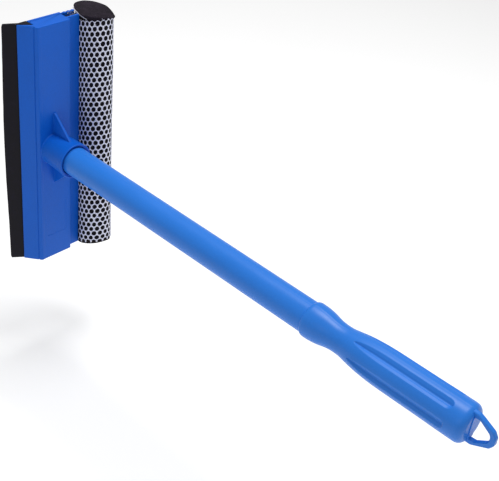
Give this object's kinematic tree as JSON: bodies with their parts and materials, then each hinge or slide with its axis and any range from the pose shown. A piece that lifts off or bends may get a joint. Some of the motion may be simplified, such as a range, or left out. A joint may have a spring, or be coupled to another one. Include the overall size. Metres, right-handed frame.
{
  "type": "squeegee applicator",
  "caption": "Hand squeegee for windows: a moulded head with a rubber blade and a netted foam scrubbing pad, on a long hollow handle with a fluted grip and a hanging loop.",
  "frame": {"origin": "centre of the head's flat back face, on the handle's axis", "axes": "+X from the head along the handle to the hanging loop, +Y from the rubber blade to the foam pad, +Z along the head"},
  "size_m": [0.4172, 0.0797, 0.203],
  "materials": {
    "head_plastic": "blue injection-moulded plastic, satin",
    "handle_plastic": "lighter blue blow-moulded plastic, satin, with a parting line",
    "blade_rubber": "black extruded rubber, smooth",
    "foam": "black open-cell foam, matt",
    "netting": "white knitted hexagonal netting"
  },
  "bodies": {
    "root": {"head_front": "head_plastic", "head_back": "head_plastic", "blade_root": "blade_rubber", "foam_pad": "foam", "net_sleeve": "netting", "handle": "handle_plastic"},
    "blade": {"blade_lip": "blade_rubber"}
  },
  "joints": [
    {"name": "blade_flex", "type": "hinge", "parent": "root", "child": "blade", "pos_m": [0.00056, -0.02179, 0], "axis": [0, 0, 1], "range_deg": [-30, 30], "stiffness_Nm_per_rad": 0.2}
  ]
}
